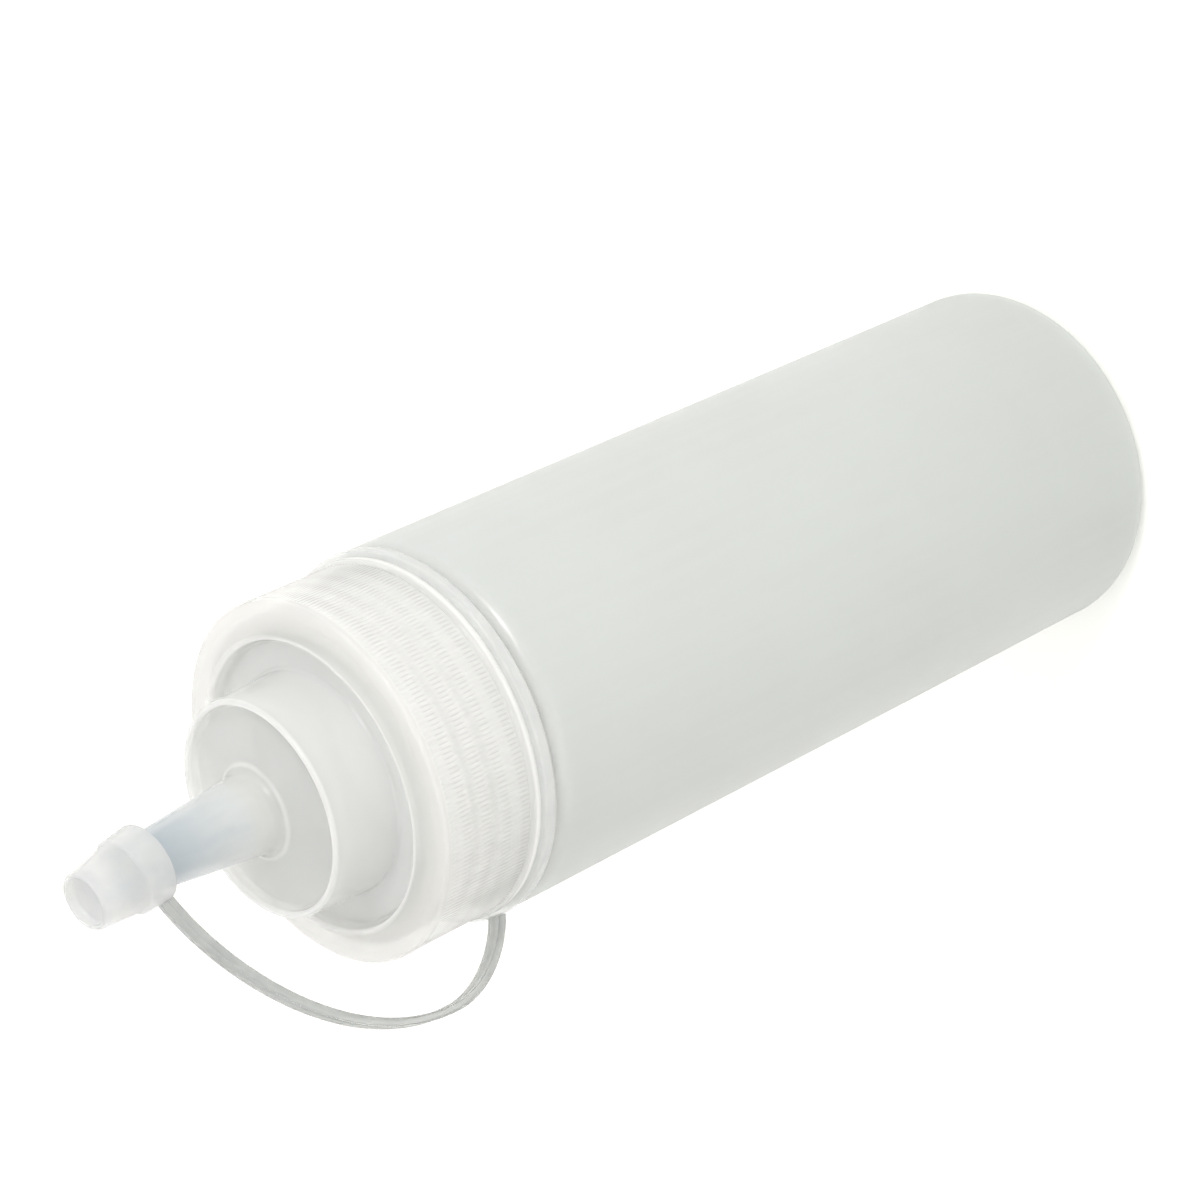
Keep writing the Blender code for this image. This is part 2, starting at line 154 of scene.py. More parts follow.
class Finish:
    """One material, with its node tree and its shader."""

    def __init__(self, name):
        self.material = bpy.data.materials.new(name)
        self.material.use_nodes = True
        self.tree = self.material.node_tree
        self.tree.nodes.clear()

    def node(self, kind, settings=None, inputs=None, output=0):
        made = self.tree.nodes.new(kind)
        for key, value in (settings or {}).items():
            setattr(made, key, value)
        for key, value in (inputs or {}).items():
            socket = made.inputs[key]
            if isinstance(value, Wire):
                self.tree.links.new(value.socket, socket)
            else:
                socket.default_value = value
        return Wire(self, made.outputs[output])

    def place(self):
        """The point of the bottle that is shaded, as its X, Y and Z in metres."""
        point = self.node("ShaderNodeTexCoord", output="Object")
        axes = [
            self.node("ShaderNodeSeparateXYZ", inputs={"Vector": point}, output=axis)
            for axis in range(3)
        ]
        return point, axes

    def noise(self, point, scale, detail=2.0):
        """A soft random value round 0.5. scale is how many patches fit in a metre."""
        inputs = {"Vector": point, "Scale": scale, "Detail": detail}
        return self.node("ShaderNodeTexNoise", inputs=inputs)

    def stretched(self, point, scales):
        """The point with each of its axes scaled, so that noise on it is drawn out."""
        return self.node("ShaderNodeVectorMath", {"operation": "MULTIPLY"}, {0: point, 1: scales})

    def blend(self, factor, first, second):
        """A colour that goes from first to second as factor goes from 0 to 1."""
        settings = {"data_type": "RGBA"}
        return self.node("ShaderNodeMix", settings, {0: factor, 6: first, 7: second}, output=2)

    def bump(self, height, strength, distance):
        inputs = {"Height": height, "Strength": strength, "Distance": distance}
        return self.node("ShaderNodeBump", inputs=inputs)

    def surface(self, shader):
        out = self.tree.nodes.new("ShaderNodeOutputMaterial")
        self.tree.links.new(shader.socket, out.inputs["Surface"])
        return self.material


# %% [markdown]
# ## Floor, backdrop and light
#
# The photo has a plain white ground. The floor is a pale diffuse surface, so that the bottle keeps a
# soft shadow, with a little glow that only the camera and clear or glossy surfaces see. The world is
# a studio tent, faintly warm. One soft lamp stands where the glint on the shoulder says it is, and a
# weaker, wider one on the leash's side. Light may bounce many times, or translucent plastic would come
# out grey.

# %% Studio
WHITE = (1.0, 1.0, 1.0, 1.0)
TENT_STRENGTH = 0.95
TENT_COLOUR = (1.0, 0.995, 0.975, 1.0)
FLOOR_HALF = 4.0
FLOOR_COLOUR = (0.96, 0.95, 0.93, 1.0)
FLOOR_GLOW = 0.20
KEY_DIRECTION = Vector((0.52, -0.67, 0.53))
KEY_DISTANCE = 0.95
KEY_SIZE = 0.32
FILL_SIZE = 0.80
KEY_WATTS = 2.8
KEY_COLOUR = (1.0, 1.0, 0.99)
FILL_DIRECTION = Vector((-0.66, -0.62, 0.42))
FILL_WATTS = 0.5
FILL_COLOUR = (1.0, 0.985, 0.95)
LIGHT_BOUNCES = 24


def seen_directly(finish):
    """1 for camera, glossy and transmission rays, and 0 for the rays that carry diffuse light."""
    camera_ray = finish.node("ShaderNodeLightPath", output="Is Camera Ray")
    glossy_ray = finish.node("ShaderNodeLightPath", output="Is Glossy Ray")
    clear_ray = finish.node("ShaderNodeLightPath", output="Is Transmission Ray")
    return camera_ray.larger(glossy_ray.larger(clear_ray))


def make_floor():
    finish = Finish("floor_white")
    diffuse = finish.node("ShaderNodeBsdfDiffuse", inputs={"Color": FLOOR_COLOUR})
    seen = seen_directly(finish)
    glow_inputs = {"Color": WHITE, "Strength": seen * FLOOR_GLOW}
    glow = finish.node("ShaderNodeEmission", inputs=glow_inputs)
    both = finish.node("ShaderNodeAddShader", inputs={0: diffuse, 1: glow})
    mesh = bmesh.new()
    corners = ((-1, -1), (1, -1), (1, 1), (-1, 1))
    mesh.faces.new([mesh.verts.new((x * FLOOR_HALF, y * FLOOR_HALF, 0)) for x, y in corners])
    data = bpy.data.meshes.new("floor")
    mesh.to_mesh(data)
    mesh.free()
    data.materials.append(finish.surface(both))
    floor_object = bpy.data.objects.new("floor", data)
    bpy.context.scene.collection.objects.link(floor_object)
    return floor_object


def make_tent():
    world = bpy.data.worlds.new("tent")
    world.use_nodes = True
    nodes = world.node_tree.nodes
    links = world.node_tree.links
    background = nodes["Background"]
    background.inputs["Color"].default_value = TENT_COLOUR
    path = nodes.new("ShaderNodeLightPath")
    seen = nodes.new("ShaderNodeMath")
    seen.operation = "MAXIMUM"
    links.new(path.outputs["Is Camera Ray"], seen.inputs[0])
    links.new(path.outputs["Is Transmission Ray"], seen.inputs[1])
    strength = nodes.new("ShaderNodeMapRange")
    strength.inputs["To Min"].default_value = TENT_STRENGTH
    links.new(seen.outputs[0], strength.inputs["Value"])
    links.new(strength.outputs[0], background.inputs["Strength"])
    bpy.context.scene.world = world


def make_lamp(name, direction, distance, size, watts, colour):
    data = bpy.data.lights.new(name, "AREA")
    data.shape = "DISK"
    data.size = size
    data.energy = watts
    data.color = colour
    lamp = bpy.data.objects.new(name, data)
    lamp.location = AIM + direction.normalized() * distance
    lamp.rotation_euler = direction.to_track_quat("Z", "Y").to_euler()
    bpy.context.scene.collection.objects.link(lamp)
    return lamp


make_floor()
make_tent()
make_lamp("key_lamp", KEY_DIRECTION, KEY_DISTANCE, KEY_SIZE, KEY_WATTS, KEY_COLOUR)
make_lamp("fill_lamp", FILL_DIRECTION, KEY_DISTANCE, FILL_SIZE, FILL_WATTS, FILL_COLOUR)
bpy.context.scene.view_settings.view_transform = "Standard"
bpy.context.scene.cycles.max_bounces = LIGHT_BOUNCES
bpy.context.scene.cycles.diffuse_bounces = LIGHT_BOUNCES
bpy.context.scene.cycles.transmission_bounces = LIGHT_BOUNCES
bpy.context.scene.cycles.transparent_max_bounces = 2 * LIGHT_BOUNCES
print("tent strength", TENT_STRENGTH, "and a key lamp of", KEY_WATTS, "W")

# %% [markdown]
# ## Sizes
#
# The same sizes as the CAD model. The pieces below go where the CAD pieces are, so each height is
# written from the base up.

# %% Sizes of the bottle
FIT_GAP = 0.0003
BODY_RADIUS = 0.0325
BODY_WALL = 0.0012
BASE_WALL = 0.0016
BASE_CORNER = 0.0055
BASE_RING_WIDTH = 0.0035
BASE_PAD_RADIUS = 0.0080
BASE_RECESS = 0.0006
BASE_RECESS_SLOPE = 0.0012
SHOULDER_HEIGHT = 0.1524
SHOULDER_CORNER = 0.0026
NECK_RADIUS = 0.0270
NECK_WALL = 0.0016
MOUTH_HEIGHT = 0.1730
NECK_BORE = NECK_RADIUS - NECK_WALL
THREAD_PITCH = 0.00423
THREAD_DEPTH = 0.0013
SKIRT_BORE = 0.0287
SKIRT_FOOT = 0.1528
RING_BORE = 0.0305
RING_RADIUS = 0.0327
RING_FOOT = 0.1537
RING_HEIGHT = 0.0022
BEAD_FOOT = RING_FOOT + RING_HEIGHT + FIT_GAP
BEAD_HEIGHT = 0.0018
RIB_ROOT_RADIUS = 0.03112
RIB_CREST_RADIUS = 0.03125
LEDGE_RADIUS = 0.0314
RIB_COUNT = 240
RIB_FOOT = 0.1584
CEILING = 0.1753
LAND_EDGE = 0.1769
WELL_FLOOR = 0.1756
CENTRE_RIM = 0.1884
DISH_EDGE = 0.1864
NOZZLE_FOOT = 0.1893
NOZZLE_TIP = 0.2155
NOZZLE_FOOT_RADIUS = 0.0070
NOZZLE_TIP_RADIUS = 0.0043
NOZZLE_WALL = 0.0013
CLOSURE_WALL = 0.0015
LAND_OUTER_RADIUS = 0.0291
LAND_INNER_RADIUS = 0.0252
LAND_RISE = 0.0014
WELL_OUTER_RADIUS = 0.0241
CENTRE_FOOT_RADIUS = 0.0193
CENTRE_RIM_RADIUS = 0.0187
DISH_RADIUS = 0.0176
TOP_CORNER = 0.0013
TOP_CORNER_DROP = 0.0004
LIP_HEIGHT = 0.0006
LIP_CATCH = 0.0004
BEAD_STAND = 0.0004
BASE_PAD_ROUND = 0.0004
NOZZLE_FOOT_ROUND = 0.0024
DISH_ROUND = 0.0007
CAP_LEAN_ANGLE = radians(6.2)
CAP_RIM = 0.2108

# %% [markdown]
# ## Turned shapes
#
# Nearly every piece here is a turned shape: an outline of radius and height, carried once round the
# axis. Blender's Screw modifier could do that, but the skirt needs a fine ribbed band between
# smooth ones, so the outline is laid as rings of points, and a ring may have more points than its
# neighbour. Rounded corners come from the outline, with an arc at each corner.

# %% Outlines with rounded corners
ARC_STEP = radians(14)
MOST_OF_A_SIDE = 0.49
RING_POINTS = 192
SHARP_ANGLE = radians(40)
FINE_ROUND = 0.0002
SMALL_ROUND = 0.0003
EDGE_ROUND = 0.0004
LIP_ROUND = 0.0005
BLEND_ROUND = 0.0006
FOOT_ROUND = 0.0008


def rounded(corners, closed):
    """Outline points through corners of (radius, height, rounding)."""
    points = []
    for index, (radius, height, rounding) in enumerate(corners):
        here = Vector((radius, height))
        if rounding == 0 or (index in (0, len(corners) - 1) and not closed):
            points.append(here)
            continue
        before = Vector(corners[index - 1][:2]) - here
        after = Vector(corners[(index + 1) % len(corners)][:2]) - here
        half = before.angle(after) / 2
        shorter = min(before.length, after.length)
        reach = min(rounding / tan(half), shorter * MOST_OF_A_SIDE)
        start = here + before.normalized() * reach
        end = here + after.normalized() * reach
        inwards = (before.normalized() + after.normalized()).normalized()
        middle = here + inwards * reach / cos(half)
        spoke = start - middle
        turn = spoke.angle_signed(end - middle)
        steps = max(1, ceil(abs(turn) / ARC_STEP))
        points += [
            middle + Matrix.Rotation(-turn * step / steps, 2) @ spoke for step in range(steps + 1)
        ]
    return points


def ring_of(mesh, radius, height, count=RING_POINTS):
    """One ring of points, or a single point on the axis. radius may be a function of the angle."""
    if radius == 0:
        return [mesh.verts.new((0, 0, height))]
    ring = []
    for index in range(count):
        angle = 2 * pi * index / count
        reach = radius(angle) if callable(radius) else radius
        ring.append(mesh.verts.new((reach * cos(angle), reach * sin(angle), height)))
    return ring


def join_rings(mesh, lower, upper):
    """Faces between two rings, also where one has a whole number of times the other's points."""
    if len(lower) > len(upper):
        lower, upper = upper, lower
    for index, vert in enumerate(lower):
        first = index * len(upper) // len(lower)
        last = (index + 1) * len(upper) // len(lower)
        edge = [upper[column % len(upper)] for column in range(first, last + 1)]
        if len(lower) == 1:
            for pair in zip(upper, upper[1:] + upper[:1]):
                mesh.faces.new((vert, *pair))
            return
        mesh.faces.new([lower[(index + 1) % len(lower)], vert] + edge)


def turned(rings_by_height, closed=False):
    """A bmesh through rings given as (radius, height, how many points)."""
    mesh = bmesh.new()
    rings = [ring_of(mesh, *ring) for ring in rings_by_height]
    for lower, upper in zip(rings, rings[1:]):
        join_rings(mesh, lower, upper)
    if closed:
        join_rings(mesh, rings[-1], rings[0])
    return mesh


def plain(points, count=RING_POINTS):
    return [(point.x, point.y, count) for point in points]


def finished(name, mesh, material):
    """Turns a bmesh into a smooth-shaded object in the scene."""
    bmesh.ops.recalc_face_normals(mesh, faces=mesh.faces)
    data = bpy.data.meshes.new(name)
    mesh.to_mesh(data)
    mesh.free()
    data.materials.append(material)
    data.shade_smooth()
    data.set_sharp_from_angle(angle=SHARP_ANGLE)
    obj = bpy.data.objects.new(name, data)
    bpy.context.scene.collection.objects.link(obj)
    print(name, "has", len(data.polygons), "faces")
    return obj


# %% [markdown]
# ## Natural polyethylene
#
# Squeeze bottles are blown from polyethylene with no pigment. It is milky: some light goes straight
# through the wall, some goes through it blurred, some is scattered inside it and comes back, and the
# skin has a soft waxy gloss. So the shader has four shares: alpha lets the straight light through,
# transmission with a rough surface gives the blurred light, subsurface scattering gives the milk,
# and a thin coat gives the gloss. Each piece has its own mix of them, and paints its own colour.
# Roughness stays on one side of about 0.27 over a whole piece. Where it crossed that value, the
# denoised picture had blotches, probably because the colours that guide the denoiser change there.

# %% Milky plastic
BUMP_STRENGTH = 0.3
BUMP_HEIGHT = 0.0001
PLASTIC_IOR = 1.5
SKIN_ROUGHNESS = 0.16
MILK_DEPTH = 0.004


def milky(finish, colour, alpha, clear, roughness, gloss, height_map):
    """The translucent shader that all the pieces share."""
    normal = finish.bump(height_map, BUMP_STRENGTH, BUMP_HEIGHT)
    shader = finish.node(
        "ShaderNodeBsdfPrincipled",
        {"subsurface_method": "RANDOM_WALK"},
        {
            "Base Color": colour,
            "Roughness": roughness,
            "IOR": PLASTIC_IOR,
            "Alpha": alpha,
            "Transmission Weight": clear,
            "Subsurface Weight": 1.0,
            "Subsurface Radius": (1.0, 1.0, 1.0),
            "Subsurface Scale": MILK_DEPTH,
            "Coat Weight": gloss,
            "Coat Roughness": SKIN_ROUGHNESS,
            "Normal": normal,
        },
    )
    return finish.surface(shader)


# %% [markdown]
# ### The blown body
#
# A blown wall has soft clouds where it is thicker, and faint lines up the body from the lips of the
# die that the tube of plastic was pushed through. Noise stretched along Z gives those lines.

# %% Body finish
BODY_THIN = (0.835, 0.880, 0.862, 1)
BODY_THICK = (0.818, 0.846, 0.826, 1)
# Painted highlight on the shoulder's corner.
BODY_SHOULDER_HIGHLIGHT = (0.900, 0.910, 0.895, 1)
# Painted light on the neck, inside the ring and the closure.
BODY_NECK_PAINTED_LIGHT = (0.960, 0.965, 0.955, 1)
BODY_CLOUDS_PER_METRE = 30.0
DIE_LINES = (420.0, 420.0, 10.0)
SHOULDER_EDGE = (0.1495, 0.1525)
NECK_EDGE = (0.1526, 0.1540)
BODY_CLEAR_SHARE = 0.35
SHOULDER_GLOSS = 0.9


def body_finish():
    finish = Finish("blown_bottle_plastic")
    point, (_, _, height) = finish.place()
    clouds = finish.noise(point, BODY_CLOUDS_PER_METRE, 3.0)
    lines = finish.noise(finish.stretched(point, DIE_LINES), 1.0, 2.0)
    density = clouds.step(0.35, 0.65) * 0.6 + lines.step(0.3, 0.7) * 0.4
    shoulder = height.step(*SHOULDER_EDGE)
    colour = finish.blend(density, BODY_THIN, BODY_THICK)
    # Painted highlight: the shoulder's corner is painted paler.
    colour = finish.blend(shoulder, colour, BODY_SHOULDER_HIGHLIGHT)
    # Painted light: the neck, from the gap under the ring upwards, is painted paler against the shade
    # there.
    colour = finish.blend(height.step(*NECK_EDGE), colour, BODY_NECK_PAINTED_LIGHT)
    roughness = 0.30 + clouds * 0.16
    grain = lines * 0.4 + clouds * 0.6
    gloss = shoulder * SHOULDER_GLOSS
    return milky(finish, colour, 1.0, BODY_CLEAR_SHARE, roughness, gloss, grain)


body_plastic = body_finish()

# %% [markdown]
# ### The moulded closure
#
# The closure is clearer than the body. Its rims carry a painted highlight, standing for light that
# enters the wall and comes out at an edge. The thread inside the skirt is painted as bands of shade
# that climb round it, with painted shade in the rib valleys there. The top and the land carry painted
# shade, the dish a cooler painted shade, the nozzle a darker and cooler painted shade, and the well
# painted light. All of it is painted from the radius, the height and the angle of the shaded point,
# to come near the photo.

# %% Closure finish
CLOSURE_FACE = (0.962, 0.952, 0.934, 1)
# Painted shade on the top and the land.
CLOSURE_TOP_SHADE = (0.805, 0.805, 0.790, 1)
CLOSURE_LAND_SHADE = (0.835, 0.825, 0.805, 1)
# Painted highlight on the rims.
CLOSURE_RIM_HIGHLIGHT = (0.985, 0.985, 0.970, 1)
# Painted shade of the thread behind the skirt, and in the rib valleys.
CLOSURE_THREAD_SHADE = (0.640, 0.650, 0.640, 1)
# Random cloudy tone, and painted shade in the dish.
CLOSURE_CLOUD_AND_DISH_SHADE = (0.860, 0.872, 0.870, 1)
# Painted shade on the nozzle, darkest towards its tip.
NOZZLE_SHADE = (0.600, 0.640, 0.670, 1)
NOZZLE_TIP_SHADE = (0.420, 0.480, 0.530, 1)
# Painted light in the well.
WELL_PAINTED_LIGHT = (0.980, 0.992, 0.990, 1)
CLOSURE_THREAD_START = 0.160625
# Rings that carry the painted highlight: radius, height and width.
RIM_HIGHLIGHT_LINES = (
    (0.01815, 0.1882, 0.0009),
    (0.0252, 0.1781, 0.0009),
    (0.0082, 0.1893, 0.0007),
    (0.0316, 0.1571, 0.0010),
)
SKIRT_OUTSIDE = (0.0300, 0.0306)
SKIRT_LOW_EDGE = (0.1580, 0.1588)
SKIRT_HIGH_EDGE = (0.1752, 0.1756)
TOP_LOW_EDGE = (0.1752, 0.1760)
LAND_INNER_EDGE = (0.0246, 0.0253)
WELL_INNER_EDGE = (0.0185, 0.0195)
WELL_OUTER_EDGE = (0.0238, 0.0250)
WELL_LOW_EDGE = (0.1745, 0.1755)
DISH_OUTER_EDGE = (0.0170, 0.0176)
DISH_HIGH_EDGE = (0.1885, 0.1900)
NOZZLE_LOW_EDGE = (0.1915, 0.1960)
NOZZLE_TIP_EDGE = (0.1960, 0.2110)
CLOSURE_CLOUDS_PER_METRE = 60.0
FLOW_LINES = (170, 170, 45)
CLOSURE_GLOSS = 0.3

# %% Masks on the closure


def near_ring(radius, height, ring_radius, ring_height, width):
    """1 on a ring round the axis, fading to 0 at width away from it."""
    off = radius - ring_radius
    rise = height - ring_height
    return 1 - (off * off + rise * rise).root().step(0.0, width)


def painted_rim_highlight(radius, height):
    """1 on every rim of the closure, where a painted highlight goes."""
    first, *others = [near_ring(radius, height, *line) for line in RIM_HIGHLIGHT_LINES]
    for line in others:
        first = first.larger(line)
    return first


def thread_shade_bands(radius, height, angle):
    """How strongly the painted shade shows: in the rib valleys on the skirt, in bands where the thread
    is behind it.
    """
    above_foot = height.step(*SKIRT_LOW_EDGE)
    below_top = 1 - height.step(*SKIRT_HIGH_EDGE)
    on_skirt = radius.step(*SKIRT_OUTSIDE) * above_foot * below_top
    turns = ((height - CLOSURE_THREAD_START) / THREAD_PITCH - angle + 0.5).part()
    band = 1 - (turns - 0.5).size().step(0.10, 0.36)
    valley = (((angle * RIB_COUNT).part() - 0.5).size() * 2).step(0.4, 1.0)
    return on_skirt * band * (0.06 + valley * 0.5)


# %% Closure plastic


def closure_finish():
    finish = Finish("moulded_closure_plastic")
    point, (across, along, height) = finish.place()
    radius = (across * across + along * along).root()
    angle = across.maths("ARCTAN2", along, across) / (2 * pi)
    clouds = finish.noise(point, CLOSURE_CLOUDS_PER_METRE, 3.0)
    flow = finish.noise(finish.stretched(point, FLOW_LINES), 1.0, 2.0)
    rim = painted_rim_highlight(radius, height)
    on_top = height.step(*TOP_LOW_EDGE)
    on_land = on_top * radius.step(*LAND_INNER_EDGE)
    within_well = radius.step(*WELL_INNER_EDGE) * (1 - radius.step(*WELL_OUTER_EDGE))
    in_well = within_well * height.step(*WELL_LOW_EDGE)
    in_dish = (1 - radius.step(*DISH_OUTER_EDGE)) * (1 - height.step(*DISH_HIGH_EDGE))
    on_nozzle = height.step(*NOZZLE_LOW_EDGE)
    uneven = clouds.step(0.3, 0.7) * 0.35 + flow.step(0.5, 0.7) * 0.25
    colour = finish.blend(uneven, CLOSURE_FACE, CLOSURE_CLOUD_AND_DISH_SHADE)
    # Painted shade: the top and the land are painted darker.
    colour = finish.blend(on_top * 0.9, colour, CLOSURE_TOP_SHADE)
    colour = finish.blend(on_land * 0.9, colour, CLOSURE_LAND_SHADE)
    # Painted light: the well is painted paler.
    colour = finish.blend(in_well, colour, WELL_PAINTED_LIGHT)
    # Painted shade in the dish.
    colour = finish.blend(in_dish * 0.5, colour, CLOSURE_CLOUD_AND_DISH_SHADE)
    # Painted shade on the nozzle, in streaks, and darker towards the tip.
    nozzle_shade_streaks = 0.60 + flow.step(0.45, 0.62) * 0.40
    colour = finish.blend(on_nozzle * nozzle_shade_streaks, colour, NOZZLE_SHADE)
    colour = finish.blend(height.step(*NOZZLE_TIP_EDGE) * 0.8, colour, NOZZLE_TIP_SHADE)
    # Painted shade: bands where the thread is behind the skirt, darker in the rib valleys.
    colour = finish.blend(thread_shade_bands(radius, height, angle), colour, CLOSURE_THREAD_SHADE)
    # Painted highlight on every rim.
    colour = finish.blend(rim, colour, CLOSURE_RIM_HIGHLIGHT)
    alpha = 0.46 + rim * 0.30 + on_nozzle * 0.10 + in_well * 0.24
    roughness = 0.16 + clouds * 0.08
    return milky(finish, colour, alpha, 0.0, roughness, CLOSURE_GLOSS, flow * 0.2)


closure_plastic = closure_finish()

# %% [markdown]
# ### The leash
#
# The ring, the strap and the cap come out of one mould, but they look different in the photo: the ring
# is nearly clear, the strap is thin and grey, and the cap is milky. So each has its own mix, and the
# strap's grey is painted shade on the same plastic.

# %% Leash finishes
LEASH_CLOUDS_PER_METRE = 240.0
LEASH_GLOSS = 0.3
RING_COLOURS = (0.89, 0.91, 0.905, 1), (0.83, 0.855, 0.86, 1)
# Painted shade: the strap is painted grey.
STRAP_SHADE_COLOURS = (0.58, 0.60, 0.59, 1), (0.50, 0.52, 0.51, 1)
CAP_COLOURS = (0.86, 0.865, 0.855, 1), (0.78, 0.80, 0.82, 1)


def leash_finish(name, colours, alpha, clear):
    finish = Finish(name)
    point, _ = finish.place()
    clouds = finish.noise(point, LEASH_CLOUDS_PER_METRE, 3.0)
    colour = finish.blend(clouds.step(0.3, 0.7), *colours)
    roughness = 0.14 + clouds * 0.08
    return milky(finish, colour, alpha, clear, roughness, LEASH_GLOSS, clouds)


ring_plastic = leash_finish("ring_plastic", RING_COLOURS, 0.42, 0.1)
strap_plastic = leash_finish("strap_plastic", STRAP_SHADE_COLOURS, 0.92, 0.75)
cap_plastic = leash_finish("cap_plastic", CAP_COLOURS, 0.65, 0.35)
print("plastics:", [material.name for material in bpy.data.materials])

# %% [markdown]
# ## Screw threads
#
# A screw thread is a ridge wound on a cylinder. It is swept along a helix as its own closed shape,
# sunk a little into the wall, and joined to it with a Boolean, as a moulder would see it: one solid.

# %% Thread ridge
THREAD_ROOT_WIDTH = 0.0022
THREAD_CREST_WIDTH = 0.0011
THREAD_BITE = 0.0003
RUN_OUT_TURNS = 0.12
RUN_OUT_DEPTH_SHARE = 0.1
THREAD_POINTS = 96


def thread_ridge(wall_radius, crest_radius, start_height, turns):
    """A bmesh of a helical ridge that runs out at both ends."""
    sink = -THREAD_BITE if crest_radius > wall_radius else THREAD_BITE
    steps = round(turns * THREAD_POINTS)
    mesh = bmesh.new()
    sections = []
    for step in range(steps + 1):
        turned_so_far = step / THREAD_POINTS
        to_end = min(turned_so_far, turns - turned_so_far) / RUN_OUT_TURNS
        share = RUN_OUT_DEPTH_SHARE + (1 - RUN_OUT_DEPTH_SHARE) * min(1, to_end)
        crest = wall_radius + (crest_radius - wall_radius) * share
        height = start_height + turned_so_far * THREAD_PITCH
        angle = 2 * pi * turned_so_far
        corners = (
            (wall_radius + sink, -THREAD_ROOT_WIDTH / 2),
            (crest, -THREAD_CREST_WIDTH / 2),
            (crest, THREAD_CREST_WIDTH / 2),
            (wall_radius + sink, THREAD_ROOT_WIDTH / 2),
        )
        sections.append([
            mesh.verts.new((radius * cos(angle), radius * sin(angle), height + rise))
            for radius, rise in corners
        ])
    for lower, upper in zip(sections, sections[1:]):
        for side in range(len(lower)):
            after = (side + 1) % len(lower)
            mesh.faces.new((lower[side], lower[after], upper[after], upper[side]))
    mesh.faces.new(sections[0])
    mesh.faces.new(sections[-1])
    return mesh


def with_ridge(name, wall_mesh, ridge_mesh, material):
    """The wall and its ridge as one object."""
    wall = finished(name + "_wall", wall_mesh, material)
    ridge = finished(name + "_ridge", ridge_mesh, material)
    union = wall.modifiers.new("thread", "BOOLEAN")
    union.operation = "UNION"
    union.solver = "EXACT"
    union.object = ridge
    bpy.context.view_layer.update()
    evaluated = wall.evaluated_get(bpy.context.evaluated_depsgraph_get())
    data = bpy.data.meshes.new_from_object(evaluated)
    data.name = name
    obj = bpy.data.objects.new(name, data)
    bpy.context.scene.collection.objects.link(obj)
    for helper in (wall, ridge):
        bpy.data.objects.remove(helper)
    data.shade_smooth()
    data.set_sharp_from_angle(angle=SHARP_ANGLE)
    print(name, "with its thread has", len(data.polygons), "faces")
    return obj


# %% [markdown]
# ## The blown bottle
#
# One thin wall, from the flat base with its shallow recess, up the straight body and over the
# shoulder into the threaded neck, and back down inside. Turning one closed outline gives the wall its
# thickness, which translucent plastic needs: light has to enter it and leave it again.

# %% Bottle
NECK_THREAD_START = 0.15851
NECK_THREAD_TURNS = 3.0


def make_bottle():
    ring_inner = BODY_RADIUS - BASE_CORNER - BASE_RING_WIDTH
    inner_radius = BODY_RADIUS - BODY_WALL
    inner_shoulder = SHOULDER_HEIGHT - BODY_WALL
    points = rounded([
        (0, 0, 0),
        (BASE_PAD_RADIUS, 0, BASE_PAD_ROUND),
        (BASE_PAD_RADIUS + BASE_RECESS_SLOPE, BASE_RECESS, BLEND_ROUND),
        (ring_inner - BASE_RECESS_SLOPE, BASE_RECESS, BLEND_ROUND),
        (ring_inner, 0, BLEND_ROUND),
        (BODY_RADIUS, 0, BASE_CORNER),
        (BODY_RADIUS, SHOULDER_HEIGHT, SHOULDER_CORNER),
        (NECK_RADIUS, SHOULDER_HEIGHT, FOOT_ROUND),
        (NECK_RADIUS, MOUTH_HEIGHT, LIP_ROUND),
        (NECK_BORE, MOUTH_HEIGHT, LIP_ROUND),
        (NECK_BORE, inner_shoulder, FOOT_ROUND + BODY_WALL),
        (inner_radius, inner_shoulder, SHOULDER_CORNER - BODY_WALL),
        (inner_radius, BASE_WALL, BASE_CORNER - BODY_WALL),
        (0, BASE_WALL, 0),
    ], False)
    mesh = turned(plain(points))
    ridge = thread_ridge(
        NECK_RADIUS, NECK_RADIUS + THREAD_DEPTH, NECK_THREAD_START, NECK_THREAD_TURNS
    )
    return with_ridge("blown_bottle", mesh, ridge, body_plastic)


bottle = make_bottle()
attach(bottle, "bottle")
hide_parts("bottle")

# %% [markdown]
# ## The nozzle closure
#
# An injection moulding: a skirt with 240 fine ribs, a flat land, a ring-shaped well, a raised middle
# with a thin rim round a shallow dish, and the long nozzle. The ribs are real geometry, eight points
# to a rib, and the plain rings on both sides are joined to that fine band.

# %% Closure
RIB_POINTS = 8
RIB_RAMP = 0.0005
CLOSURE_THREAD_TURNS = 2.5


def ribbed(depth_share):
    """The skirt's radius as a function of the angle: rounded ribs with valleys between."""
    def radius(angle):
        valley = (1 + cos(angle * RIB_COUNT)) / 2
        depth = RIB_CREST_RADIUS - RIB_ROOT_RADIUS
        return RIB_CREST_RADIUS - depth * depth_share * valley
    return radius


